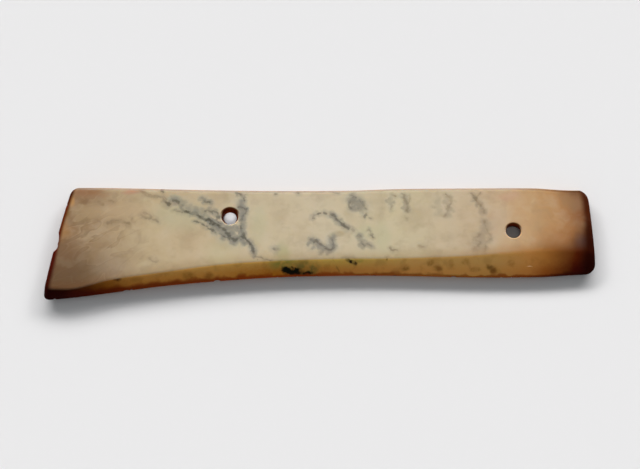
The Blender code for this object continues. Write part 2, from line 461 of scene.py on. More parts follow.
# %% [markdown]
# ## Two drilled holes
#
# A solid drill fed with wet sand cuts a cone, so a hole drilled from both faces is an hourglass with
# a waist inside the stone. The sand also scores fine rings round the wall. Each hole is a profile
# turned about the hole's axis with a Screw modifier, and the thong's rubbing rounds its mouths.

# %% Turn the drills
Hole = namedtuple("Hole", "name centre mouth waist waist_depth back_mouth")
HOLES = (
    Hole("heel_hole", Vector((-39.9, 12.0)) * MM, 3.95 * MM, 2.95 * MM, 2.9 * MM, 4.1 * MM),
    Hole("toe_hole", Vector((84.6, 5.2)) * MM, 3.45 * MM, 3.1 * MM, 1.8 * MM, 4.2 * MM),
)
LIP_FLARE = 0.5 * MM
LIP_DEPTH = 0.35 * MM
LIP_STEPS = 5
SCORE_PITCH = 0.55 * MM     # one scored ring to the next
SCORE_DEPTH = 0.03 * MM
WALL_STEPS = 24
DRILL_SIDES = 72
WALL_FLARE = 1.2            # how the wall opens from the waist: 1 is a straight cone
SAME_POINT = 0.01 * MM      # points closer than this are one

drill_marked = bpy.data.materials.new("drill_marked")
chip_marked = bpy.data.materials.new("chip_marked")


def guide_line(name, points):
    """A guide line through these points, as a mesh of edges."""
    mesh = bpy.data.meshes.new(name)
    mesh.from_pydata(points, [(i, i + 1) for i in range(len(points) - 1)], [])
    return bench_object(name, mesh)


def lip(mouth, step):
    """A mouth's rounded lip as (radius, depth below the face), step by step into the hole."""
    turn = math.pi / 2 * step / LIP_STEPS
    return mouth + LIP_FLARE * (1 - math.sin(turn)), LIP_DEPTH * (1 - math.cos(turn))


def drill_profile(hole):
    """The outer side of the drilled space from top to bottom, as (radius, height) points."""
    over = 1.0 * MM
    waist_height = THICKNESS - hole.waist_depth
    points = [(0.0, THICKNESS + over), (hole.mouth + LIP_FLARE + over, THICKNESS + over)]
    points += [(radius, THICKNESS - depth)
               for radius, depth in (lip(hole.mouth, step) for step in range(LIP_STEPS + 1))]
    for step in range(1, WALL_STEPS):
        f = step / WALL_STEPS
        height = THICKNESS - LIP_DEPTH + (2 * LIP_DEPTH - THICKNESS) * f
        if height > waist_height:
            lean = (height - waist_height) / (THICKNESS - LIP_DEPTH - waist_height)
            radius = hole.waist + (hole.mouth - hole.waist) * lean ** WALL_FLARE
        else:
            lean = (waist_height - height) / (waist_height - LIP_DEPTH)
            radius = hole.waist + (hole.back_mouth - hole.waist) * lean ** WALL_FLARE
        points.append((radius + SCORE_DEPTH * math.sin(2 * math.pi * height / SCORE_PITCH), height))
    points += [lip(hole.back_mouth, LIP_STEPS - step) for step in range(LIP_STEPS + 1)]
    points += [(hole.back_mouth + LIP_FLARE + over, -over), (0.0, -over)]
    return points


def drilled_space(hole):
    cutter = guide_line(hole.name, [(radius, 0.0, height) for radius, height in drill_profile(hole)])
    cutter.location = hole.centre.to_3d()
    screw = cutter.modifiers.new("turned", "SCREW")
    screw.steps = DRILL_SIDES
    screw.render_steps = DRILL_SIDES
    screw.use_merge_vertices = True
    screw.merge_threshold = SAME_POINT
    cutter.data.materials.append(drill_marked)
    return cutter


cutters = [drilled_space(hole) for hole in HOLES]
print("two drills, of", [round(2 * hole.waist / MM, 1) for hole in HOLES], "mm at the waist")

# %% [markdown]
# ## Chips
#
# Nephrite breaks in shallow shells, with ripples that spread from where the blow fell. The chips
# that show are known by their places: two run together on the heel, one is a flake off its corner,
# and the rest are nicks on the edge and spine. Each is a ball stretched to the size of its scar and
# rippled, which will bite into the slab.

# %% Shape the chips
Chip = namedtuple("Chip", "name centre radii")
CHIPS = (
    Chip("heel_chip", Vector((-118.15, 1.6, 3.4)) * MM, Vector((3.8, 6.4, 9.0)) * MM),
    Chip("heel_chip_step", Vector((-118.05, -1.7, 3.4)) * MM, Vector((3.4, 3.6, 8.0)) * MM),
    Chip("heel_flake", Vector((-112.3, 17.8, 6.5)) * MM, Vector((1.3, 2.4, 1.4)) * MM),
    Chip("edge_nick_1", Vector((-84.0, -23.2, 2.6)) * MM, Vector((2.6, 2.0, 1.6)) * MM),
    Chip("edge_nick_2", Vector((-45.0, -18.1, 2.6)) * MM, Vector((1.8, 1.5, 1.4)) * MM),
    Chip("edge_nick_3", Vector((58.0, -16.6, 2.7)) * MM, Vector((2.2, 1.6, 1.5)) * MM),
    Chip("spine_nick", Vector((-70.0, 25.9, 6.1)) * MM, Vector((1.6, 1.4, 1.3)) * MM),
)
RIPPLE_PITCH = 0.9 * MM
RIPPLE_DEPTH = 0.05 * MM
CHIP_FINENESS = 5
CHIP_GRAIN = 1.5 * MM       # the width of the lumps on a scar


def chip_space(chip):
    """The space of one chip: a stretched ball with ripples round its top."""
    bm = bmesh.new()
    bmesh.ops.create_icosphere(bm, subdivisions=CHIP_FINENESS, radius=1.0)
    for vert in bm.verts:
        way = vert.co.normalized()
        place_on_ball = Vector(way[i] * chip.radii[i] for i in range(3))
        from_blow = (place_on_ball - Vector((0, 0, chip.radii.z))).length
        ripple = math.sin(2 * math.pi * from_blow / RIPPLE_PITCH)
        rough = noise.noise(place_on_ball / CHIP_GRAIN + chip.centre / MM)
        vert.co = chip.centre + place_on_ball + way * (RIPPLE_DEPTH * ripple + 2 * RIPPLE_DEPTH * rough)
    ball = skin_object(chip.name, bm)
    ball.data.materials.append(chip_marked)
    return ball


cutters += [chip_space(chip) for chip in CHIPS]
print(len(CHIPS), "chips, the largest", round(2 * CHIPS[0].radii.y / MM, 1), "mm across")

# %% [markdown]
# ## Nicks along the edges
#
# Use also left dozens of nicks too small to place one by one. They repeat along a line, which is
# work for Geometry Nodes: the tree walks along a guide curve, drops a small ball at each step, skips
# some by chance, and varies size and turn. The same tree serves the cutting edge and both arrises of
# the heel, with other numbers.

# %% Scatter the nicks
NICK_FINENESS = 3
NICK_FACES = 20 * 4 ** (NICK_FINENESS - 1)
NICK_SHAPE = (1.3, 0.9, 0.7)        # length, width and height of a nick of size 1
EDGE_LINE_STEPS = 100
HEEL_LINE_STEPS = 40


def nick_tree():
    tree, given = new_tree("nicks", Spacing="Float", Smallest="Float", Largest="Float", Kept="Float",
                           Stray="Float", Seed="Int")
    node = partial(add_node, tree)
    line = node("GeometryNodeMeshToCurve", {"Mesh": given["Geometry"]})
    spots = node("GeometryNodeCurveToPoints", {"Curve": line, "Length": given["Spacing"]},
                 mode="LENGTH")
    away = node("ShaderNodeMath", {0: given["Stray"], 1: -1.0}, operation="MULTIPLY")
    least = node("ShaderNodeCombineXYZ", dict.fromkeys("XYZ", away))
    most = node("ShaderNodeCombineXYZ", dict.fromkeys("XYZ", given["Stray"]))
    stray = node("FunctionNodeRandomValue", {"Min": least, "Max": most, "Seed": given["Seed"]},
                 data_type="FLOAT_VECTOR")
    moved = node("GeometryNodeSetPosition", {"Geometry": spots, "Offset": stray})
    kept = node("FunctionNodeRandomValue", {"Probability": given["Kept"], "Seed": given["Seed"]},
                data_type="BOOLEAN")
    size = node("FunctionNodeRandomValue", {"Min_001": given["Smallest"], "Max_001": given["Largest"],
                                            "Seed": given["Seed"]}, data_type="FLOAT")
    turn = node("FunctionNodeRandomValue", {"Min": (0.0, 0.0, 0.0), "Max": (math.tau,) * 3,
                                            "Seed": given["Seed"]}, data_type="FLOAT_VECTOR")
    ball = node("GeometryNodeMeshIcoSphere", {"Radius": 1.0, "Subdivisions": NICK_FINENESS})
    shard = node("ShaderNodeVectorMath", {0: NICK_SHAPE, "Scale": socket_of(size.outputs, "Value_001")},
                 operation="SCALE")
    balls = node("GeometryNodeInstanceOnPoints",
                 {"Points": moved, "Selection": socket_of(kept.outputs, "Value_003"), "Instance": ball,
                  "Rotation": turn.outputs["Value"], "Scale": shard})
    return finish_tree(tree, balls, chip_marked)


def edge_line(first, last, inset):
    """The cutting edge between two shares of the length, this far inside the stone."""
    points = []
    for step in range(EDGE_LINE_STEPS + 1):
        share = first + (last - first) * step / EDGE_LINE_STEPS
        points.append(place(share, plan_at((share - 0.5) * LENGTH, "edge") - inset, EDGE_HEIGHT))
    return points


def heel_line(height, out):
    """The heel from its foot to its head at this height, this far outside the stone."""
    points = []
    for step in range(HEEL_LINE_STEPS + 1):
        y = HEEL.foot.y + (HEEL.head.y - HEEL.foot.y) * step / HEEL_LINE_STEPS
        points.append(Vector((end_at(HEEL, y) - out, y, height)))
    return points


nicks = nick_tree()
NickRow = namedtuple("NickRow", "name line spacing smallest largest kept stray seed")     # lengths in mm
NICKED = (
    NickRow("cutting_edge", edge_line(0.02, 0.97, 0.5 * MM), 4.2, 0.5, 0.95, 0.55, 0.35, 4),
    NickRow("heel_arris", heel_line(THICKNESS - 0.2 * MM, 0.35 * MM), 2.6, 0.45, 0.9, 0.6, 0.25, 9),
    NickRow("heel_back_arris", heel_line(0.3 * MM, 0.5 * MM), 3.4, 0.5, 1.0, 0.5, 0.3, 12),
)
for row in NICKED:
    made = run_tree(guide_line(row.name, row.line), nicks,
                    {"Spacing": row.spacing * MM, "Smallest": row.smallest * MM,
                     "Largest": row.largest * MM, "Kept": row.kept, "Stray": row.stray * MM,
                     "Seed": row.seed})
    cutters.append(made)
    print(row.name, "has", len(made.data.polygons) // NICK_FACES, "nicks")

# %% [markdown]
# ## Cutting
#
# One Boolean modifier takes every cutter from the slab at once, through a collection. The exact
# solver keeps the skin closed. Each cutter carries a marker material, and the new faces keep it, so
# the next step can still tell a drilled wall and a fresh scar from the polished skin.

# %% Cut the slab
def cut_slab(slab, tools):
    taken = bpy.data.collections.new("taken_away")
    bench.children.link(taken)
    for tool in tools:
        taken.objects.link(tool)
    cut = slab.modifiers.new("cut", "BOOLEAN")
    cut.operation = "DIFFERENCE"
    cut.operand_type = "COLLECTION"
    cut.collection = taken
    cut.solver = "EXACT"
    cut.use_self = True     # neighbouring nicks overlap
    cut.material_mode = "TRANSFER"
    return plain_copy(slab, cut, "carved")


carved = cut_slab(ground, cutters)
print("carved:", len(carved.data.polygons), "faces,", [m.name for m in carved.data.materials])

# %% [markdown]
# ## Where the veins run
#
# Dark minerals crept into this stone along hair cracks and left smoky strands. The strands can't
# follow a rule, since each one is an accident, so they are set out one by one, as an illustrator would:
# a path, half its width, and how dark it is. The places are in millimetres on the face. Wide pale
# strands make the clouds, and narrow ones the dark threads.

# %% Set out the strands
# Each row is half the strand's width, its darkness and then its path, in millimetres on the face.
THREADS = (
    # the main vein, from the spine down past the heel hole
    (0.8, 0.4, (-80, 24.5), (-77, 22.5), (-74, 21.5), (-70, 21), (-68, 19)),
    (1.0, 0.85, (-69, 20), (-68, 18.5), (-66.5, 17.5)),
    (0.8, 0.75, (-65, 19.5), (-62.5, 18.4), (-61.3, 15.7), (-59.8, 14.5)),
    (0.6, 0.6, (-64.5, 14.9), (-61, 14.1), (-58.3, 13.6)),
    (0.9, 1.0, (-60, 14.2), (-58, 13.6), (-55, 13.5), (-52.5, 11.3), (-49, 10.2), (-47, 8.5),
     (-44.5, 7.5)),
    (0.8, 0.75, (-44.5, 7.5), (-41.5, 4.5), (-40, 2.5), (-37.5, 0.5), (-35.5, 2), (-33.5, 2.5)),
    (0.75, 0.8, (-33.5, 2.5), (-32, 0.5), (-30.5, -1.5), (-29.5, -4), (-28.5, -7)),
    (0.35, 0.5, (-28.5, -7), (-26, -7.5), (-23.5, -8.5), (-21, -8.5)),
    (0.5, 0.65, (-55.5, 9.5), (-53, 9), (-50, 7), (-48, 5.5), (-43, 3), (-40.5, 1.5), (-38.5, 1)),
    # the squiggle above it
    (0.45, 0.6, (-51, 14.5), (-49.5, 15), (-48, 14), (-47, 14.5), (-45.5, 13.5), (-44.5, 11.5)),
    (0.4, 0.55, (-45.5, 12), (-45.5, 10), (-44, 8.5)),
    (0.7, 0.6, (-52, 20.5), (-50.5, 19), (-49, 18.5)),
    # the second vein, on the toe side of the heel hole
    (0.55, 0.7, (-37.5, 23.5), (-35.5, 22.5), (-34, 21), (-33.5, 19.5)),
    (0.4, 0.5, (-31.5, 23.5), (-33, 22.5), (-34, 21.5)),
    (0.6, 0.6, (-36, 16.5), (-34, 16), (-33, 14), (-34.5, 11), (-35, 7), (-34.5, 5), (-33, 2.5)),
    # specks by the spine
    (0.6, 0.9, (-70.5, 25), (-70, 24), (-69.5, 23.5)),
    (0.5, 0.5, (-20, 22.5), (-19, 22.5)),
    (0.5, 0.75, (-10.5, 23.5), (-9.5, 23)),
    (0.5, 0.4, (5, 23.5), (8, 23)),
    # faint brown marks towards the heel
    (0.6, 0.45, (-79, 12.6), (-76.5, 11.2), (-74, 10.6), (-71.5, 9.4)),
    (0.6, 0.4, (-77.5, 13.6), (-75.5, 12.8), (-74.5, 11.6)),
    (0.5, 0.3, (-83, 10.2), (-81.5, 9.4)),
    (0.9, 0.42, (-94, 8.6), (-91, 9.4), (-87.5, 9.4), (-84, 8.4)),
    (0.7, 0.25, (-98.3, 10.3), (-97, 9.8)),
    (0.9, 0.35, (-98, 18.6), (-96.8, 18), (-95.8, 17.4)),
    (0.8, 0.28, (-93, 19.4), (-91.6, 18.8)),
    (0.6, 0.3, (-74.5, -8), (-72.5, -9.5), (-71, -9)),
    (0.5, 0.4, (-107, -9.8), (-105.5, -8.8), (-104, -7.2)),
    (0.7, 0.4, (-114, -8.6), (-111.5, -9.8), (-109, -10.4)),
    (0.5, 0.25, (-103, -6), (-100.5, -4.5), (-99, -3)),
    # marks at the middle
    (0.6, 0.7, (-3.5, 11), (-2.5, 12.5), (-1, 13.5), (0, 13.5)),
    (0.7, 0.65, (1.5, 13.5), (2.5, 13)),
    (0.7, 0.8, (5, 13), (6.5, 11.5), (8, 9.5), (9.5, 8), (11, 7), (12, 6)),
    (0.6, 0.6, (13.5, 6), (14.5, 5)),
    (0.6, 0.55, (16, 3), (17.5, 2.5)),
    (0.7, 0.65, (18, 0), (19, -1.5), (20, -1), (22, -2)),
    (0.6, 0.6, (20, 13.5), (19.5, 11.5)),
    (0.55, 0.6, (21.5, 5.5), (22.5, 3), (23, 2)),
    (0.5, 0.4, (21.5, 11.5), (22, 11)),
    (0.5, 0.6, (13.5, 22), (15.5, 21), (18, 18.5), (20, 15.5)),
    (0.5, 0.45, (13, 19.5), (12.5, 17), (14.5, 15), (16.5, 15.5)),
    (0.6, 0.6, (-4.5, 1), (-2, 0.2), (0, -1), (1.8, -2.6), (3.8, -3.8), (6, -2.6), (5.2, 0), (5, 1.5)),
    # near the ridge and on the bevel
    (0.9, 0.6, (-20.5, -3.5), (-19, -3.5)),
    (1.3, 1.2, (-17.5, -12), (-14.5, -12.8), (-11.5, -13.6), (-8, -14.1), (-4, -14.2)),
    (0.6, 1.2, (-13.5, -11), (-12, -12)),
    (0.9, 1.0, (11.5, -8.5), (13, -9), (14.5, -9.5)),
    (0.5, 0.3, (5.5, -8), (6, -12)),
    # marks between the middle and the toe hole
    (0.5, 0.6, (32, 22), (33, 21.5)),
    (0.5, 0.5, (32, 17.5), (31, 16), (31, 15.5)),
    (0.6, 0.45, (37, 22.5), (37, 20.5), (38, 18.5), (38.5, 16.5), (38, 14.5)),
    (0.45, 0.35, (39.5, 22.5), (39, 19), (38.5, 16.5)),
    (0.5, 0.55, (37.5, 11.5), (38, 11)),
    (0.5, 0.55, (30.5, -2.5), (31, -4), (33.5, -4)),
    (0.5, 0.5, (29.5, -7), (28.5, -8)),
    (0.5, 0.35, (43, -2), (45, -2.5)),
    (0.55, 0.4, (55.5, 22.5), (57, 21), (58, 19.5), (57, 17.5), (55.5, 16.5)),
    (0.45, 0.4, (57, 17.5), (56, 14.5), (54.5, 12)),
    (0.6, 0.5, (66.5, 23), (68, 20.5), (69.5, 18.5), (70.5, 17), (71.5, 16), (72, 13.5)),
    (0.45, 0.45, (70.5, 23), (69, 20.5), (69, 19)),
    (0.45, 0.3, (72, 9.5), (72.5, 6), (73.5, 4.5), (74.5, 1.5), (72.5, -0.5), (72, -4)),
    (0.45, 0.3, (70, 3), (66.5, 1), (70, -0.5), (67, -3.5)),
)
CLOUDS = (
    (1.5, 0.42, (-65.5, 20), (-62.5, 19), (-59.5, 18.3)),
    (1.9, 0.38, (-60, 16.8), (-55, 15), (-50, 12.5)),
    (2.8, 0.75, (-49, 10.5), (-46.5, 8.5), (-43.5, 5.5), (-40, 3), (-36.5, 1.5), (-34, 1)),
    (1.2, 0.6, (-33, 1.5), (-30.5, -2), (-29, -5.5)),
    (1.8, 0.6, (-35.5, 19), (-34.5, 16), (-34, 12), (-34.5, 7), (-34, 3)),
    (1.0, 0.4, (-52.5, 20.5), (-49, 18.5), (-47.5, 17.5)),
    (1.6, 0.35, (-49, 15), (-46.5, 12.5)),
    (2.6, 0.7, (14.2, 20), (15.5, 18), (17.5, 16.5)),
    (1.4, 0.45, (5, 12.5), (8.5, 9), (12, 6.5)),
    (1.8, 0.6, (-3.5, 0), (0, -2), (3, -4.5), (5, -2.5), (5.5, 2)),
    (1.6, 0.4, (16.5, 2.5), (19, -1), (21.5, -2)),
    (1.2, 0.35, (30.5, 20), (31.5, 16.5)),
    (1.2, 0.4, (38, 22), (38, 15)),
    (2.0, 0.25, (51.5, 19), (52, 13.5)),
    (1.6, 0.35, (68, 20.5), (70.5, 18), (71.5, 14)),
    (3.0, 0.3, (72, 8), (71, 2), (69, -3.5)),
    (1.8, 0.25, (56.5, 21), (56, 13)),
    (2.2, 0.7, (-40.5, 6.2), (-38, 6), (-35.5, 4.8)),
)


def store(mesh, name, values, domain="POINT"):
    """Keep one number for each point, or each face, of the mesh under this name."""
    attribute = mesh.attributes.new(name, "FLOAT", domain)
    attribute.data.foreach_set("value", np.asarray(values, dtype=np.float32))


def strand_guide(name, strands):
    """Strands as a mesh of edges, with a half width and a strength at each point."""
    points, edges, widths, strengths = [], [], [], []
    for half_width, strength, *path in strands:
        for number, (x, y) in enumerate(path):
            if number:
                edges.append((len(points) - 1, len(points)))
            points.append((x * MM, y * MM, 0.0))
            widths.append(half_width * MM)
            strengths.append(strength)
    mesh = bpy.data.meshes.new(name)
    mesh.from_pydata(points, edges, [])
    store(mesh, "half_width", widths)
    store(mesh, "strength", strengths)
    return bench_object(name, mesh)


thread_guide = strand_guide("threads", THREADS)
cloud_guide = strand_guide("clouds", CLOUDS)
print(len(THREADS), "dark threads and", len(CLOUDS), "clouds")

# %% [markdown]
# ## Growing the veins
#
# The mineral front did not stop at a clean line. It wandered, and sent short side hairs into the
# grain. The tree smooths each path, makes it wander, grows hairs from it at random, and then tells
# every point of the stone how far off the nearest vein is, how wide that vein is and how dark. A
# vein is a sheet through the slab, so the measuring place slides sideways with depth, and the
# veins come out at another place on the back.

# %% Build the vein tree
VEIN_SLANT = Vector((0.9, -0.5, 0.0))       # how far a vein moves sideways for each step down
SHORTEST_HAIR = 0.35        # as a share of the longest
LEVEL = (1.0, 1.0, 0.0)     # what a place is multiplied by to drop it into the guide's plane


def vein_tree():
    tree, given = new_tree("veined", Guide="Object", Step="Float", Wander="Float", Wander_Width="Float",
                           Hair="Float", Hairiness="Float", Hair_Thinness="Float", Seed="Int",
                           Gap_Name="String", Width_Name="String", Strength_Name="String")
    node = partial(add_node, tree)
    guide = node("GeometryNodeObjectInfo", {"Object": given["Guide"]})
    paths = node("GeometryNodeMeshToCurve", {"Mesh": guide.outputs["Geometry"]})
    smooth = node("GeometryNodeCurveSplineType", {"Curve": paths}, spline_type="CATMULL_ROM")
    fine = node("GeometryNodeResampleCurve", {"Curve": smooth, "Length": given["Step"]}, mode="LENGTH")
    beads = node("GeometryNodeCurveToPoints", {"Curve": fine}, mode="EVALUATED")

    # hairs: short lines turned at random round the upright, thinner than the vein they leave
    turn = node("FunctionNodeRandomValue", {"Min_001": 0.0, "Max_001": math.tau, "Seed": given["Seed"]},
                data_type="FLOAT")
    upright = node("ShaderNodeCombineXYZ", {"Z": socket_of(turn.outputs, "Value_001")})
    grown = node("FunctionNodeRandomValue", {"Probability": given["Hairiness"], "Seed": given["Seed"]},
                 data_type="BOOLEAN")
    length = node("FunctionNodeRandomValue", {"Min_001": SHORTEST_HAIR, "Max_001": 1.0,
                                              "Seed": given["Seed"]}, data_type="FLOAT")
    tip = node("ShaderNodeCombineXYZ", {"X": given["Hair"]})
    hair = node("GeometryNodeCurvePrimitiveLine", {"End": tip})
    hairs = node("GeometryNodeInstanceOnPoints",
                 {"Points": beads, "Selection": socket_of(grown.outputs, "Value_003"), "Instance": hair,
                  "Rotation": upright, "Scale": socket_of(length.outputs, "Value_001")})
    real = node("GeometryNodeRealizeInstances", {"Geometry": hairs})
    fine_hairs = node("GeometryNodeResampleCurve", {"Curve": real, "Length": given["Step"]},
                      mode="LENGTH")
    hair_beads = node("GeometryNodeCurveToPoints", {"Curve": fine_hairs}, mode="EVALUATED")
    width = node("GeometryNodeInputNamedAttribute", {"Name": "half_width"}, data_type="FLOAT")
    thinner = node("ShaderNodeMath", {0: width, 1: given["Hair Thinness"]}, operation="MULTIPLY")
    thin = node("GeometryNodeStoreNamedAttribute", {"Geometry": hair_beads, "Name": "half_width",
                                                    "Value": thinner}, data_type="FLOAT", domain="POINT")
    both = node("GeometryNodeJoinGeometry", {"Geometry": beads})
    tree.links.new(thin.outputs[0], both.inputs["Geometry"])

    # wandering: a noise nudges every bead sideways, and stays in the plane
    where = node("GeometryNodeInputPosition")
    per_width = node("ShaderNodeMath", {0: 1.0, 1: given["Wander Width"]}, operation="DIVIDE")
    drift = node("ShaderNodeTexNoise", {"Vector": where, "W": given["Seed"], "Scale": per_width,
                                        "Detail": 3.0}, noise_dimensions="4D")
    centred = node("ShaderNodeVectorMath", {0: drift.outputs["Color"], 1: (0.5, 0.5, 0.5)},
                   operation="SUBTRACT")
    sized = node("ShaderNodeVectorMath", {0: centred, "Scale": given["Wander"]}, operation="SCALE")
    flat = node("ShaderNodeVectorMath", {0: sized, 1: LEVEL}, operation="MULTIPLY")
    wandered = node("GeometryNodeSetPosition", {"Geometry": both, "Offset": flat})

    # the measuring place: slid along the slant by the depth, then dropped into the guide's plane
    height = node("ShaderNodeSeparateXYZ", {"Vector": where}).outputs["Z"]
    depth = node("ShaderNodeMath", {0: THICKNESS, 1: height}, operation="SUBTRACT")
    slid = node("ShaderNodeVectorMath", {0: VEIN_SLANT, "Scale": depth}, operation="SCALE")
    moved = node("ShaderNodeVectorMath", {0: where, 1: slid}, operation="SUBTRACT")
    level = node("ShaderNodeVectorMath", {0: moved, 1: LEVEL}, operation="MULTIPLY")
    near = node("GeometryNodeProximity", {"Target": wandered, "Source Position": level},
                target_element="POINTS")
    nearest = node("GeometryNodeSampleNearest", {"Geometry": wandered, "Sample Position": level},
                   domain="POINT")
    told = {"Gap Name": near.outputs["Distance"]}
    for name, source in (("Width Name", "half_width"), ("Strength Name", "strength")):
        held = node("GeometryNodeInputNamedAttribute", {"Name": source}, data_type="FLOAT")
        told[name] = node("GeometryNodeSampleIndex",
                          {"Geometry": wandered, "Value": held, "Index": nearest},
                          data_type="FLOAT", domain="POINT")
    stone = given["Geometry"]
    for name, value in told.items():
        stone = node("GeometryNodeStoreNamedAttribute",
                     {"Geometry": stone, "Name": given[name], "Value": value},
                     data_type="FLOAT", domain="POINT")
    return finish_tree(tree, stone, blade_material)


veins = vein_tree()
print("the vein tree has", len(veins.nodes), "nodes")

# %% [markdown]
# ## What each point of the stone knows
#
# The finish depends on places: how far a point is from the heel, the toe, the edge, the spine and
# the ridge, and whether a drill or a blow made its face. Each answer is stored on the mesh once, in
# millimetres, and the material only reads it. The faces' marker materials turn into two of those
# answers before the vein tree gives the whole stone its one material.

# %% Measure every point
TABLE_STEP = 1.0 * MM


def measure(mesh):
    count = len(mesh.vertices)
    where = np.empty(count * 3, dtype=np.float32)
    mesh.vertices.foreach_get("co", where)
    x, y, z = where.reshape(-1, 3).T.astype(float)
    heel_x, toe_x = end_at(HEEL, y), end_at(TOE, y)
    along = ((x - heel_x) / (toe_x - heel_x) - 0.5) * LENGTH
    ruler = np.arange(-LENGTH / 2, LENGTH / 2 + TABLE_STEP, TABLE_STEP)
    line = {}
    for column in ("spine", "ridge", "edge"):
        line[column] = np.interp(along, ruler, [plan_at(value, column) for value in ruler])
    off_axis = [np.hypot(x - hole.centre.x, y - hole.centre.y) - hole.mouth for hole in HOLES]
    store(mesh, "heel_gap", (x - heel_x) / MM)
    store(mesh, "toe_gap", (toe_x - x) / MM)
    store(mesh, "spine_gap", (line["spine"] - y) / MM)
    store(mesh, "edge_gap", (y - line["edge"]) / MM)
    store(mesh, "past_ridge", (line["ridge"] - y) / MM)
    store(mesh, "hole_gap", np.minimum(*off_axis) / MM)
    centre_y = np.array([hole.centre.y for hole in HOLES])[np.argmin(off_axis, axis=0)]
    store(mesh, "hole_rise", (y - centre_y) / MM)       # how far spineward of the nearer hole
    made_by = np.empty(len(mesh.polygons), dtype=np.int32)
    mesh.polygons.foreach_get("material_index", made_by)
    names = [material.name for material in mesh.materials]
    for mark, name in (("bore", drill_marked.name), ("scar", chip_marked.name)):
        store(mesh, mark, made_by == names.index(name), "FACE")
        print(mark, "is on", int((made_by == names.index(name)).sum()), "faces")


measure(carved.data)
threaded = run_tree(carved, veins, {
    "Guide": thread_guide, "Step": 0.2 * MM, "Wander": 1.6 * MM, "Wander Width": 1.8 * MM,
    "Hair": 1.4 * MM, "Hairiness": 0.08, "Hair Thinness": 0.6, "Seed": 7,
    "Gap Name": "thread_gap", "Width Name": "thread_width", "Strength Name": "thread_strength"})
clouded = run_tree(threaded, veins, {
    "Guide": cloud_guide, "Step": 0.4 * MM, "Wander": 2.5 * MM, "Wander Width": 5.0 * MM,
    "Hair": 3.0 * MM, "Hairiness": 0.15, "Hair Thinness": 0.6, "Seed": 11,
    "Gap Name": "cloud_gap", "Width Name": "cloud_width", "Strength Name": "cloud_strength"})
print("the stone knows:", ", ".join(a.name for a in clouded.data.attributes if a.data_type == "FLOAT"))

# %% [markdown]
# ## Polished nephrite: where its colour comes from
#
# Nephrite is a felt of tiny mineral fibres. Light goes a little way in and comes back soft, and the
# polish lies over that like clear glass. This one is a cream stone. Iron from the soil has stained it
# from the ends and the edge inwards: tan, then red-brown, then nearly black. Its finish is built in
# the order that time laid it: the body colour, the stains, the veins, the stained bevel and rims,
# then what the drill and the blows laid bare. Some light and shade is painted in as well: the glow
# of light through the thin bevel and edge, shade before the ridge, and sheen on the spine's arris
# and by the toe.
#
# Everything is measured in millimetres. A noise bends the coordinates first, so that no stain has a
# compass-drawn outline.

# %% Start the material
blade_material.use_nodes = True
stone = blade_material.node_tree
stone.nodes.clear()

stone_node = partial(add_node, stone)

seen = stone_node("ShaderNodeTexCoord").outputs["Object"]
place_mm = stone_node("ShaderNodeVectorMath", {0: seen, "Scale": 1 / MM}, operation="SCALE")


def bend(start, width, reach):
    """Coordinates pushed about by a noise of this width, up to half this reach each way, in mm."""
    drift = stone_node("ShaderNodeTexNoise", {"Vector": place_mm, "Scale": 1 / width, "Detail": 2.0})
    centred = stone_node("ShaderNodeVectorMath", {0: drift.outputs["Color"], 1: (0.5, 0.5, 0.5)},
                         operation="SUBTRACT")
    sized = stone_node("ShaderNodeVectorMath", {0: centred, "Scale": reach}, operation="SCALE")
    return stone_node("ShaderNodeVectorMath", {0: start, 1: sized})


def speckle(width, detail, roughness):
    """A noise with grains of this width in mm, half of it above 0 and half below."""
    grains = stone_node("ShaderNodeTexNoise", {"Vector": place_mm, "Scale": 1 / width, "Detail": detail,
                                               "Roughness": roughness})
    return stone_node("ShaderNodeMath", {0: grains, 1: 0.5}, operation="SUBTRACT")


shaken_mm = bend(place_mm, 3.2, 1.5)
bent_mm = bend(shaken_mm, 17.0, 7.0)
fray = speckle(1.1, 4.0, 0.6)
lump = speckle(2.2, 3.0, 0.55)


def zone(name, inside, outside, ragged=0.0):
    """0 where a stored distance is at outside or past it, 1 at inside. Ragged mm fray the border."""
    distance = stone_node("ShaderNodeAttribute", attribute_name=name).outputs["Fac"]
    frayed = stone_node("ShaderNodeMath", {0: fray, 1: ragged, 2: distance}, operation="MULTIPLY_ADD")
    return stone_node("ShaderNodeMapRange", {"Value": frayed, "From Min": outside,
                                             "From Max": inside}, **SOFT)


def lay(under, over, *masks):
    """One colour laid over another as far as the product of these masks and strengths says."""
    amount = masks[0]
    for mask in masks[1:]:
        amount = stone_node("ShaderNodeMath", {0: amount, 1: mask}, operation="MULTIPLY")
    mixed = stone_node("ShaderNodeMix", {"Factor_Float": amount, "A_Color": under, "B_Color": over},
                       data_type="RGBA")
    return socket_of(mixed.outputs, "Result_Color")


print("the material starts with", len(stone.nodes), "nodes")

# %% [markdown]
# ## The body colour
#
# From end to end the stone goes tan, cream, tan and brown. That is one colour ramp along the bent
# length. Over it lie soft mottles a few millimetres wide, more of them towards the heel.

# %% Colour the body
BODY = (
    (-122, "#7a583c"), (-111, "#8c6f52"), (-101, "#9a8062"), (-88, "#b09a7a"), (-75, "#bba887"),
    (-55, "#beab8c"), (-41, "#c2b294"), (0, "#c5b79c"), (36, "#c4b798"), (57, "#c2b195"),
    (72, "#bfa88a"), (86, "#bf9f7a"), (96, "#bb966c"), (103, "#b1875c"), (109, "#a0734c"),
    (114, "#8c6040"), (118, "#74492e"), (122, "#4a2816"),
)
HALF_SPAN = {"X": LENGTH / MM / 2 + 2, "Y": 28.0}       # in mm, just past the ends and the sides


def between(axis, start, end, low=0.0, high=1.0, **settings):
    """A number that goes from low to high between two places, in mm along the blade or across it."""
    where = stone_node("ShaderNodeSeparateXYZ", {"Vector": bent_mm})
    return stone_node("ShaderNodeMapRange", {"Value": where.outputs[axis], "From Min": start,
                                             "From Max": end, "To Min": low, "To Max": high}, **settings)


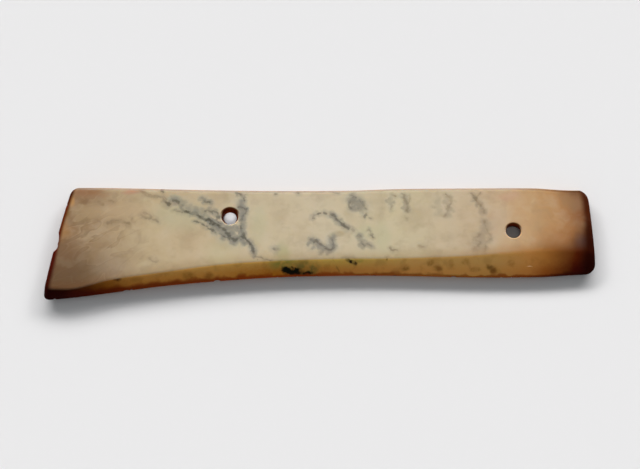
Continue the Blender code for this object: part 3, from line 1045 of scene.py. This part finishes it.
def hues_along(rows, axis="X"):
    """A colour that runs through these rows of a place in mm and a hex colour."""
    half = HALF_SPAN[axis]
    return stone_node("ShaderNodeValToRGB", {"Fac": between(axis, -half, half)},
                      [((place + half) / (2 * half), hue) for place, hue in rows])


colour = hues_along(BODY)

CLOUDING_WIDTH = 9.0
MOTTLE_WIDTH = 5.5
cloudy = stone_node("ShaderNodeTexNoise", {"Vector": bent_mm, "Scale": 1 / CLOUDING_WIDTH,
                                           "Detail": 3.0})
for hue, most, strength in (("#d2c6ac", 0.72, 0.22), ("#9a866a", 0.3, 0.28)):       # pale, then dim
    part = stone_node("ShaderNodeMapRange", {"Value": cloudy, "From Min": 0.5, "From Max": most})
    colour = lay(colour, hue, part, strength)
mottled = stone_node("ShaderNodeTexNoise", {"Vector": bent_mm, "Scale": 1 / MOTTLE_WIDTH, "Detail": 2.5,
                                            "Roughness": 0.55})
blotch = stone_node("ShaderNodeMapRange", {"Value": mottled, "From Min": 0.5, "From Max": 0.68}, **SOFT)
colour = lay(colour, "#77634a", blotch, between("X", -60, -90, 0.1, 0.18))

FOLD_LENGTH, FOLD_WIDTH = 12.0, 4.5      # the fibres of the stone lie in slanting folds by the heel
FOLD_SLANT = math.radians(28)
slanted = stone_node("ShaderNodeMapping", {"Vector": place_mm, "Rotation": (0.0, 0.0, FOLD_SLANT),
                                           "Scale": (FOLD_LENGTH, FOLD_WIDTH, FOLD_WIDTH)},
                     vector_type="TEXTURE")
fibrous = stone_node("ShaderNodeTexNoise", {"Vector": slanted, "Scale": 1.0, "Detail": 1.5,
                                            "Distortion": 0.4})
by_heel = between("X", -68, -98, **SOFT)
lower_down = between("Y", 16, 0, 0.35, 1.0)
CREST = ("#cbb391", 0.28, (0.43, 0.49, 0.51))        # hue, strength, and where in the noise it lies
SHADE = ("#5e4a36", 0.26, (0.49, 0.515, 0.6))
for hue, strength, band in (CREST, SHADE):
    fold = stone_node("ShaderNodeValToRGB", {"Fac": fibrous},
                      zip(band, ("#000000", "#ffffff", "#000000")))
    colour = lay(colour, hue, fold, by_heel, lower_down, strength)
print("the body runs through", len(BODY), "colours")

# %% [markdown]
# ## Stains, and a painted sheen
#
# A stain is a soft patch of another colour. One recipe makes them all: the distance from a centre,
# stretched to the patch's reach, fades its colour in. They are laid one over another, as washes are.
# One patch by the toe is no stain but a painted grey sheen.

# %% Lay the stains and a painted sheen
# Each row is a place, a reach each way, a colour and a strength, in millimetres on the face.
STAINS_AND_SHEEN = (
    (-100, -8, 34, 16, "#8d765a", 0.35),
    (-113, -16, 26, 17, "#644d37", 0.85),      # the heel's dark lower corner
    (-113, -5, 13, 11, "#7c5f46", 0.5),
    (-86, 15, 26, 5, "#bfa786", 0.4),
    (-115, 4.5, 7, 7, "#a5794a", 0.6),         # a warm patch above the chips
    (-103, 14, 8, 6, "#a8926e", 0.35),
    (-106, 23.5, 13, 4, "#946849", 0.6),      # a flush in the heel's upper corner
    (-109.8, 19, 2.0, 3.4, "#c08e52", 0.6),    # amber inside the heel's rim
    (-111.5, 14, 2.2, 4, "#7c5c2a", 0.6),
    (-113, 9, 3.0, 6, "#ac865e", 0.3),
    (-104, 19, 3, 2, "#7e6246", 0.5),
    (-103.7, 9.7, 3, 2, "#7e6a50", 0.4),
    (-83, 24.3, 6, 2.0, "#ba7d6a", 0.45),
    (-90, -12, 11, 7, "#9a8874", 0.4),
    (-62, 13, 17, 10, "#b8b394", 0.5),         # greenish cream round the main vein
    (-64.5, 20.5, 4, 2, "#87958a", 0.6),
    (-42, -6, 9, 9, "#bcb48f", 0.35),
    (-27, 8, 5, 12, "#b9b494", 0.5),
    (-34.5, 15, 3, 6, "#91877e", 0.6),         # lilac beside the heel hole
    (-16.5, -6, 4.5, 8, "#a5a176", 0.55),      # olive above the dark blotch
    (16.5, 18.5, 4.5, 4.5, "#918d7f", 0.6),
    (4.5, -1, 3.5, 4.5, "#a39d94", 0.5),
    (7.5, 3.7, 4.5, 1.8, "#a59474", 0.6),
    (20, 5, 6, 6, "#b3b08c", 0.4),
    (27, 2, 5, 10, "#b3b18f", 0.45),
    (77, 8, 7, 9, "#bfa990", 0.45),
    (82, 21, 7, 3, "#c39b86", 0.35),
    (108, 0, 18, 9, "#98663c", 0.6),           # tan that deepens towards the toe
    (118, 26, 15, 7, "#4c281a", 0.95),         # the toe's two dark corners
    (120, -4, 15, 14, "#34170c", 0.95),
    (120.5, 24.5, 6, 4.5, "#240c02", 0.8),
    # a painted grey sheen on the toe's facet, not a stain
    (114, -1, 4, 7, "#5a4644", 0.45),
)
PATCH_DEPTH = 9.0       # how far a patch reaches into the stone
SMALL_PATCH = 6.0


def patch_mask(x, y, reach_x, reach_y):
    """1 at the middle of a patch, fading to 0 beyond its reach. A small one keeps its place better."""
    bending = shaken_mm if reach_x < SMALL_PATCH else bent_mm
    offset = stone_node("ShaderNodeVectorMath", {0: bending, 1: (x, y, THICKNESS / MM)},
                        operation="SUBTRACT")
    shrunk = stone_node("ShaderNodeVectorMath", {0: offset, 1: (reach_x, reach_y, PATCH_DEPTH)},
                        operation="DIVIDE")
    away = stone_node("ShaderNodeVectorMath", {0: shrunk}, operation="LENGTH").outputs["Value"]
    return stone_node("ShaderNodeMapRange", {"Value": away, "From Min": 1.1, "From Max": 0.25}, **SOFT)


for *spot, hue, strength in STAINS_AND_SHEEN:
    colour = lay(colour, hue, patch_mask(*spot), strength)
print(len(STAINS_AND_SHEEN), "stains")

# %% [markdown]
# ## Veins
#
# The clouds are smoky grey-green and soft. The threads are darker, with a frayed border, and break
# up where the mineral ran out. Round both, the stone is a little greener and paler.

# %% Draw the veins
def vein_mask(kind, inner, outer, ragged):
    """1 along these strands and 0 beyond them. Inner and outer are shares of the strand's half width."""
    gap, width, strength = [
        stone_node("ShaderNodeAttribute", attribute_name=f"{kind}_{told}").outputs["Fac"]
        for told in ("gap", "width", "strength")]
    frayed = stone_node("ShaderNodeMath", {0: lump, 1: ragged * MM, 2: gap}, operation="MULTIPLY_ADD")
    share = stone_node("ShaderNodeMath", {0: frayed, 1: width}, operation="DIVIDE")
    return stone_node("ShaderNodeMapRange", {"Value": share, "From Min": outer, "From Max": inner,
                                             "To Max": strength}, **SOFT)


BREAK_WIDTH = 3.0
broken = stone_node("ShaderNodeTexNoise", {"Vector": bent_mm, "Scale": 1 / BREAK_WIDTH, "Detail": 2.0,
                                           "Roughness": 0.55})
whole = stone_node("ShaderNodeMapRange", {"Value": broken, "From Min": 0.38, "From Max": 0.56,
                                          "To Min": 0.35, "To Max": 1.0})
cloud = vein_mask("cloud", 0.1, 1.5, 3.0)
thread = vein_mask("thread", 0.3, 1.2, 1.6)
VEIN_HUES = (
    (-80.5, "#74624a"), (-61, "#5e5a4c"), (-34.2, "#58544a"), (0, "#5e584e"), (19.5, "#686154"),
    (39, "#78684e"), (68.3, "#746448"),
)
HAZE_HUES = (
    (-80.5, "#927f66"), (-56.1, "#8a887a"), (-29.3, "#89867c"), (0, "#8c877c"), (24.4, "#928b78"),
    (48.8, "#988970"), (78.1, "#93826a"),
)
haze_hue = hues_along(HAZE_HUES)
colour = lay(colour, "#b3ae9c", vein_mask("cloud", 0.6, 2.8, 2.0), 0.55)       # a halo
colour = lay(colour, haze_hue, vein_mask("thread", 0.4, 4.0, 3.0), 0.62)
colour = lay(colour, haze_hue, cloud, 0.95)
colour = lay(colour, "#75716a", cloud, whole, 0.5)       # smoke
colour = lay(colour, hues_along(VEIN_HUES), thread, whole, 0.95)
print("the material now has", len(stone.nodes), "nodes")

# %% [markdown]
# ## The bevel, the spine and the rims: stains, with painted glow, shade and sheen
#
# The bevel is where the slab is thin, so the brown goes right through it and light makes it glow
# amber; that glow is painted into its colour, over the brown stain. It darkens to nearly black at
# both ends, and soil left torn spots on it. Its rim, the cutting edge, is deep red and orange, partly
# stain and partly a painted glow of light through the thin edge. The two ends have dark red-brown
# stained rims. Just before the ridge the face is painted darker: partly the stone's olive-brown,
# partly painted shade where the face turns down into the bevel. Along the spine the rounded arris is
# painted a grey sheen where it catches the lamps, and the sawn wall below it is brown.

# %% Stain the bevel, and paint its glow, the ridge's shade and the spine's sheen
# Each row is a place along the blade, the colour by the ridge and the colour by the cutting edge.
# The bevel's amber is partly stain and partly a painted glow of light through the thin stone.
BEVEL = (
    (-122, "#200c04", "#1c0401"), (-108, "#421a06", "#360f04"), (-100, "#643a0e", "#582606"),
    (-92, "#a06a26", "#8a5014"), (-76, "#cc9a52", "#c8863a"), (-46, "#d4a458", "#d09040"),
    (-20, "#cea050", "#b8721f"), (10, "#ccac56", "#cc8a40"), (40, "#cca05a", "#d89a50"),
    (75, "#b88e50", "#be8a46"), (90, "#b88042", "#b27436"), (98, "#a66c30", "#8e4e1a"),
    (111, "#561c04", "#440a02"), (122, "#200602", "#180202"),
)
BEVEL_SPOTS = (
    (-17, -9.5, 9, 4.5, "#8c843c", 0.9),       # olive over the black blotch
    (-6, -12, 8, 3.5, "#6e6a34", 0.9),
    (-14.5, -12.6, 4.0, 1.5, "#0e1006", 1.5),  # the blotch itself, down to the edge
    (-10.5, -13.4, 4.4, 1.8, "#10120a", 1.7),
    (-6.5, -14, 5.0, 1.4, "#14140a", 1.7),
    (-88.5, -17.4, 2.6, 1.2, "#4a2808", 0.9),
    (-79.5, -17.5, 3.8, 2.0, "#8a5818", 0.4),
    (-57.5, -15.5, 3.4, 2.4, "#7c5016", 0.65),
    (-48.5, -15.5, 3.2, 2.4, "#7a4a16", 0.6),
    (17, -8.5, 2.4, 1.8, "#8c8a3a", 0.35),
    (37, -11.5, 2.6, 2.0, "#6e4612", 0.65),
    (48, -9.5, 2.4, 1.8, "#7a4c10", 0.6),
    (51, -12.0, 2.8, 1.8, "#6e3e0a", 0.65),
    (56.9, -9.7, 1.4, 2.0, "#744610", 0.7),
    (63.3, -9.2, 2.6, 1.8, "#7c5014", 0.6),
    (67.2, -12.4, 3.0, 1.6, "#6e420e", 0.75),
    (73.6, -11.3, 2.6, 1.6, "#5e3c0c", 0.75),
    (75.3, -13.0, 2.0, 2.2, "#6a3e0c", 0.8),
    (83, -9.7, 2.4, 1.8, "#7c4e1c", 0.5),
    (91, -11, 1.8, 0.35, "#f0ca90", 0.7),       # a scratch
)

upper, lower = [hues_along([(row[0], row[side]) for row in BEVEL]) for side in (1, 2)]
bevel_colour = lay(upper, lower, zone("edge_gap", 1.5, 7.0, 3.0))
bevel_colour = lay(bevel_colour, "#6a4414", blotch, 0.2)
for *spot, hue, strength in BEVEL_SPOTS:
    bevel_colour = lay(bevel_colour, hue, patch_mask(*spot), whole, strength)
bevel_colour = lay(bevel_colour, "#5c4a20", cloud, whole, 0.7)
bevel_colour = lay(bevel_colour, "#15140a", thread, whole, 1.0)

near_bevel = zone("past_ridge", 0.5, -6.0)
on_bevel = zone("past_ridge", between("X", 70, 105, 0.5, 1.6), between("X", 70, 105, -0.3, -2.8))
# Painted shade, over the stone's olive-brown: the face darkens over the last 6 mm before the ridge,
# where it turns down into the bevel.
RIDGE_SHADE_HUES = ((-97.6, "#683c1c"), (-48.8, "#967845"), (48.8, "#967845"), (87.8, "#a06c36"),
              (109.8, "#542a12"))
colour = lay(colour, hues_along(RIDGE_SHADE_HUES), near_bevel, between("X", 60, 105, 0.4, 0.75))
colour = lay(colour, bevel_colour, on_bevel)

# Painted sheen: a grey band on the rounded arris, where it catches the lamps; it darkens with the stain
# towards both ends.
SPINE_SHEEN_HUES = ((-117.1, "#3c1a08"), (-102.5, "#8c8072"), (83, "#8c8072"), (102.5, "#5c3a22"),
              (114.7, "#2c140a"))
colour = lay(colour, hues_along(SPINE_SHEEN_HUES), zone("spine_gap", 0.9, 1.7, 0.3), 0.72)
wall_hue = stone_node("ShaderNodeValToRGB", {"Fac": mottled},
                      [(0.36, "#8e6e4c"), (0.5, "#7c5e42"), (0.66, "#664a34")])
colour = lay(colour, wall_hue, zone("spine_gap", 0.3, 0.75, 0.5), 0.85)


def rim(name, reach):
    """1 at a border of the blade, fading to 0 at this reach in mm, which may itself vary."""
    gap = stone_node("ShaderNodeAttribute", attribute_name=name).outputs["Fac"]
    share = stone_node("ShaderNodeMath", {0: gap, 1: reach}, operation="DIVIDE")
    return stone_node("ShaderNodeMapRange", {"Value": share, "From Min": 1.0, "From Max": 0.3}, **SOFT)


# The cutting edge's red and orange is partly stain and partly a painted glow of light through the thin
# edge.
EDGE_HUES = ((-122, "#1c0402"), (-100, "#4a0e04"), (-83, "#701e02"), (-36.6, "#8e340a"), (0, "#984010"),
             (53.7, "#96561e"), (87.8, "#7a3408"), (104.9, "#3c0a02"), (122, "#180402"))
HEEL_HUES = ((-26.3, "#290301"), (-19.6, "#380801"), (-9.5, "#480902"), (1.1, "#500c03"), (9, "#5c2608"),
             (16.8, "#5c2004"), (22.4, "#3c1404"), (25.8, "#5a2c10"))
TOE_HUES = ((-11.2, "#240501"), (2.8, "#300d04"), (14, "#441804"), (23.5, "#40190a"))
edge_reach = stone_node("ShaderNodeMapRange", {"Value": mottled, "From Min": 0.35, "From Max": 0.65,
                                               "To Min": 0.8, "To Max": 2.4})
edge_reach = stone_node("ShaderNodeMath", {0: edge_reach, 1: between("X", -15, -70, 0.0, 1.6)})
heel_hue = hues_along(HEEL_HUES, "Y")
colour = lay(colour, hues_along(EDGE_HUES), rim("edge_gap", edge_reach), 0.9)
colour = lay(colour, heel_hue, rim("heel_gap", between("Y", -14, 5.6, 3.6, 2.4)), 0.97)
colour = lay(colour, "#290301", patch_mask(-119, -25.5, 13, 5.5), 0.95)     # the heel's lowest corner
colour = lay(colour, hues_along(TOE_HUES, "Y"), rim("toe_gap", between("Y", -8.4, 8.4, 8.5, 5.0)), 0.95)
print("the rims are on; the material has", len(stone.nodes), "nodes")

# %% [markdown]
# ## Drilled walls and broken scars
#
# The drill left a matt wall that soil has turned dark brown. On the spine side of each hole the lip
# turns amber, then dark brown, and the wall's colour reaches up to the face; on the edge side the lip
# keeps the face's colour and the wall's colour starts half a millimetre deeper. The scars of the
# chips are matt too, and stained almost as dark as the rims, because they are old.

# %% Colour the holes and the scars
spineward = zone("hole_rise", 3.0, 0.5)
colour = lay(colour, "#9a6c3a", zone("hole_gap", 0.3, 0.9, 0.3), spineward, 0.4)
colour = lay(colour, "#5c2c10", zone("hole_gap", 0.25, 0.6, 0.1), spineward, 0.9)

LIP_STEP = 0.5      # on the edge's side the wall's colour starts this much deeper, in mm
drilled = stone_node("ShaderNodeAttribute", attribute_name="bore").outputs["Fac"]
scar = stone_node("ShaderNodeAttribute", attribute_name="scar").outputs["Fac"]
height_mm = stone_node("ShaderNodeSeparateXYZ", {"Vector": place_mm}).outputs["Z"]
lip_level = stone_node("ShaderNodeMath", {0: spineward, 1: -LIP_STEP, 2: height_mm},
                    operation="MULTIPLY_ADD")
below_lip = stone_node("ShaderNodeMapRange", {"Value": lip_level,
                                              "From Min": THICKNESS / MM - LIP_STEP - 0.15,
                                              "From Max": THICKNESS / MM - LIP_STEP - 0.6}, **SOFT)
bore = stone_node("ShaderNodeMath", {0: drilled, 1: below_lip}, operation="MULTIPLY")
bore_hue = stone_node("ShaderNodeValToRGB", {"Fac": mottled}, [(0.4, "#3c0600"), (0.6, "#6a2402")])
colour = lay(colour, bore_hue, bore, 0.95)
colour = lay(colour, heel_hue, scar, 0.6)
print("holes and scars are coloured")

# %% [markdown]
# ## Polish
#
# A sand-and-hide polish leaves nephrite waxy, not glassy, so the roughness is about a third. It is a
# little rougher in patches, and much rougher where the stone was drilled or broken. Its refractive
# index is 1.62, but burial etched the skin and it mirrors little, so its specular level is low. The
# felted fibres give a faint orange peel, a fiftieth of a millimetre deep. The glow under the skin is
# warm, because the stone passes red light furthest.

# %% Polish the stone
BARE_ROUGHNESS = 0.58       # where the stone was drilled or broken
PEEL_DEPTH = 0.02 * MM
patchy = stone_node("ShaderNodeMapRange", {"Value": cloudy, "From Min": 0.3, "From Max": 0.7,
                                           "To Min": 0.27, "To Max": 0.38})
laid_bare = stone_node("ShaderNodeMath", {0: bore, 1: scar}, operation="ADD", use_clamp=True)
roughness = stone_node("ShaderNodeMix", {"Factor_Float": laid_bare, "A_Float": patchy,
                                         "B_Float": BARE_ROUGHNESS})
peel = stone_node("ShaderNodeBump", {"Height": fray, "Strength": 0.5, "Distance": PEEL_DEPTH})
surface = stone_node("ShaderNodeBsdfPrincipled",
                     {"Base Color": colour, "Roughness": socket_of(roughness.outputs, "Result_Float"),
                      "IOR": 1.62, "Specular IOR Level": 0.02, "Normal": peel, "Subsurface Weight": 0.3,
                      "Subsurface Radius": (1.0, 0.5, 0.2), "Subsurface Scale": 1.2 * MM})
stone_node("ShaderNodeOutputMaterial", {"Surface": surface})
print("polished nephrite has", len(stone.nodes), "nodes")

# %% [markdown]
# ## Lay it in the frame
#
# The finished mesh takes the place of the imported blade. It rides on the one body. The bench is
# cleared.

# %% Hand over the blade
CREASE = math.radians(32)       # a sharper turn than this stays a hard line
for polygon in clouded.data.polygons:
    polygon.use_smooth = True
clouded.data.set_sharp_from_angle(angle=CREASE)
blade = bpy.data.objects.new("jade_blade", clouded.data)
blade.data.name = "jade_blade"
bpy.context.scene.collection.objects.link(blade)
for helper in list(bench.all_objects):
    bpy.data.objects.remove(helper)

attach(blade, "root")
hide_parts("blade")
print("the blade has", sum(len(p.vertices) - 2 for p in blade.data.polygons), "triangles")

# %% [markdown]
# ## Floor and light
#
# The knife lies on a plain pale floor. A long, low row of lamps stands behind it, so the face is
# bright, the bevel is shaded, and a short soft shadow lies before the cutting edge. Their glare is
# filtered off. The rest of the light is a grey dome, paler towards the horizon, with a small soft box
# almost overhead. That box shows the floor through the holes, and two pins of light brighten it in one.

# %% Light it
FLOOR_SIDE = 8.0        # the floor ends out of sight
floor_material = bpy.data.materials.new("matt_painted_board")
floor_material.use_nodes = True
paint = floor_material.node_tree.nodes["Principled BSDF"]
paint.inputs["Base Color"].default_value = linear("#e7e7e8")
paint.inputs["Roughness"].default_value = 0.9
paint.inputs["Specular IOR Level"].default_value = 0.0        # dull, so that it only carries the shadow

bpy.ops.mesh.primitive_plane_add(size=FLOOR_SIDE, location=(0.0, 0.0, low.z))
floor = bpy.context.object
floor.name = "floor"
floor.data.materials.append(floor_material)

KEY_ELEVATION = math.radians(22)
KEY_SPREAD = math.radians(14)
KEY_STRENGTH = 6.3              # watts a square metre, from the whole row
KEY_COLOUR = (1.0, 0.985, 0.975)
KEY_ROW = (-42, -28, -14, 0, 14, 28, 42)        # degrees to the side; the row is one long soft box
for number, degrees in enumerate(KEY_ROW):
    key_data = bpy.data.lights.new(f"key_{number}", "SUN")
    key_data.energy = KEY_STRENGTH / len(KEY_ROW)
    key_data.angle = KEY_SPREAD
    key_data.color = KEY_COLOUR
    key = bpy.data.objects.new(f"key_{number}", key_data)
    aside = math.radians(degrees)
    level = math.cos(KEY_ELEVATION)
    towards_key = Vector((math.sin(aside) * level, math.cos(aside) * level, math.sin(KEY_ELEVATION)))
    key.rotation_euler = towards_key.to_track_quat("Z", "Y").to_euler()
    key.visible_glossy = False      # a polarising filter takes its glare off the stone
    bpy.context.scene.collection.objects.link(key)

PIN_DISTANCE = 0.34
PIN_SIZE = 0.5 * MM
# Strength is in watts a square metre, spread in degrees, and aside in millimetres.
Pin = namedtuple("Pin", "name strength spread blend aside")
PINS = (Pin("pin_whole", 1.35, 1.0, 0.2, 0.0), Pin("pin_upper", 1.3, 0.75, 1.0, 1.3))
towards_pin = Vector((0.0, -0.42, 1.0)).normalized()
heel_hole = Vector((HOLES[0].centre.x, HOLES[0].centre.y, THICKNESS - HOLES[0].waist_depth))
for pin in PINS:
    pin_data = bpy.data.lights.new(pin.name, "SPOT")
    pin_data.energy = pin.strength * 4 * math.pi * PIN_DISTANCE ** 2
    pin_data.spot_size = math.radians(pin.spread)
    pin_data.spot_blend = pin.blend
    pin_data.shadow_soft_size = PIN_SIZE
    lamp = bpy.data.objects.new(pin.name, pin_data)
    lamp.location = heel_hole + Vector((0.0, pin.aside * MM, 0.0)) + PIN_DISTANCE * towards_pin
    lamp.rotation_euler = towards_pin.to_track_quat("Z", "Y").to_euler()
    lamp.visible_camera = False
    bpy.context.scene.collection.objects.link(lamp)

dome = bpy.data.worlds.new("dome")
dome.use_nodes = True
dome.node_tree.nodes.clear()
bpy.context.scene.world = dome
sky_node = partial(add_node, dome.node_tree)
way = sky_node("ShaderNodeTexCoord").outputs["Generated"]
up = sky_node("ShaderNodeSeparateXYZ", {"Vector": way}).outputs["Z"]
glow = sky_node("ShaderNodeValToRGB", {"Fac": up},
                [(0.0, "#e8e8e8"), (0.05, "#e6e6e6"), (0.2, "#b6b6b6"), (0.95, "#595959")])
towards_box = Vector((0.0, -0.3, 1.0)).normalized()
facing_box = sky_node("ShaderNodeVectorMath", {0: way, 1: towards_box}, operation="DOT_PRODUCT")
overhead = sky_node("ShaderNodeMapRange", {"Value": facing_box.outputs["Value"], "From Min": 0.972,
                                           "From Max": 0.98, "To Max": 1.0})
both = sky_node("ShaderNodeMath", {0: glow, 1: overhead})
sky = sky_node("ShaderNodeBackground", {"Color": (0.98, 1.0, 1.01, 1.0), "Strength": both})
sky_node("ShaderNodeOutputWorld", {"Surface": sky})
print("a low row of lamps, a dome, and two pins of light down the heel hole")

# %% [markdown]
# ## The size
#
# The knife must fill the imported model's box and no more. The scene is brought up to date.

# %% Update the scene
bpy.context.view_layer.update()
